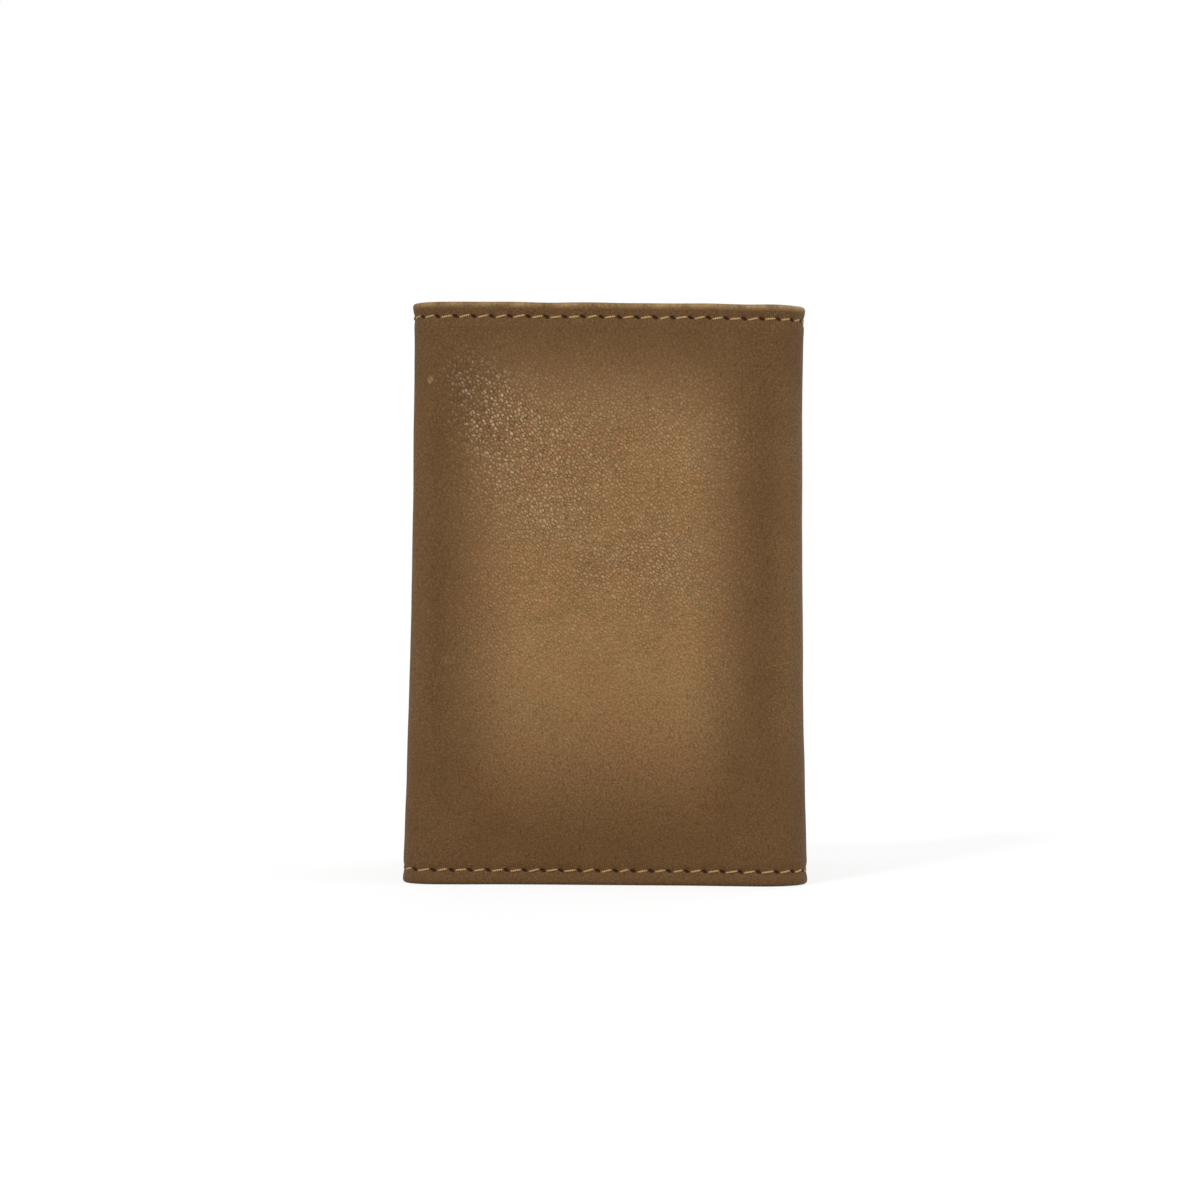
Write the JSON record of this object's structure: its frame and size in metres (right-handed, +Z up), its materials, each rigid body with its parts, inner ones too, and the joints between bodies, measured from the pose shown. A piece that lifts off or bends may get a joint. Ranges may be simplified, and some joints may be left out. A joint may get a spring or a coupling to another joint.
{
  "type": "trifold wallet",
  "caption": "Leather trifold wallet with a puffed middle panel, wings that swing on soft folds, stepped card pockets, an identity-card window and a bill compartment.",
  "frame": {"origin": "centre of the bounding box's base, on the surface that the wallet stands on with both wings straight back", "axes": "+Z up along the folds, -Y out of the middle panel's outer face, +X towards the outer wing's fold"},
  "size_m": [0.0756, 0.0738, 0.11],
  "materials": {
    "shell_leather": "semi-matt brown leather with a fine pebble grain and burnished edges",
    "pocket_leather": "thin brown leather with a fine grain",
    "divider_leather": "thin split brown leather",
    "lining_cloth": "olive-grey twill cloth",
    "seam_thread": "gold-coloured twisted thread",
    "window_film": "clear soft film"
  },
  "bodies": {
    "center": {"center_shell": "shell_leather", "center_lining": "lining_cloth", "center_divider": "divider_leather", "center_slip_pocket": "pocket_leather", "id_window": "window_film", "id_window_frame": "pocket_leather", "center_top_thread": "seam_thread", "center_bottom_thread": "seam_thread", "left_fold_leather": "shell_leather", "left_fold_lining": "lining_cloth", "left_fold_divider": "divider_leather", "left_fold_top_thread": "seam_thread", "left_fold_bottom_thread": "seam_thread", "right_fold_leather": "shell_leather", "right_fold_lining": "lining_cloth", "right_fold_divider": "divider_leather", "right_fold_top_thread": "seam_thread", "right_fold_bottom_thread": "seam_thread"},
    "left_wing": {"left_shell": "shell_leather", "left_lining": "lining_cloth", "left_divider": "divider_leather", "left_card_pocket_1_facing": "pocket_leather", "left_card_pocket_1_bag": "lining_cloth", "left_card_pocket_2_facing": "pocket_leather", "left_card_pocket_2_bag": "lining_cloth", "left_card_pocket_3": "pocket_leather", "left_top_thread": "seam_thread", "left_bottom_thread": "seam_thread", "left_end_thread": "seam_thread"},
    "right_wing": {"right_shell": "shell_leather", "right_lining": "lining_cloth", "right_divider": "divider_leather", "right_card_pocket_1_facing": "pocket_leather", "right_card_pocket_1_bag": "lining_cloth", "right_card_pocket_2_facing": "pocket_leather", "right_card_pocket_2_bag": "lining_cloth", "right_card_pocket_3": "pocket_leather", "right_top_thread": "seam_thread", "right_bottom_thread": "seam_thread", "right_end_thread": "seam_thread"}
  },
  "joints": [
    {"name": "left_fold", "type": "hinge", "parent": "center", "child": "left_wing", "pos_m": [-0.0323, -0.02669, 0.055], "axis": [0, 0, 1], "range_deg": [-90, 90], "deforming": ["left_fold_leather", "left_fold_lining", "left_fold_divider", "left_fold_top_thread", "left_fold_bottom_thread"]},
    {"name": "right_fold", "type": "hinge", "parent": "center", "child": "right_wing", "pos_m": [0.02929, -0.02368, 0.055], "axis": [0, 0, -1], "range_deg": [-90, 90], "deforming": ["right_fold_leather", "right_fold_lining", "right_fold_divider", "right_fold_top_thread", "right_fold_bottom_thread"]}
  ]
}
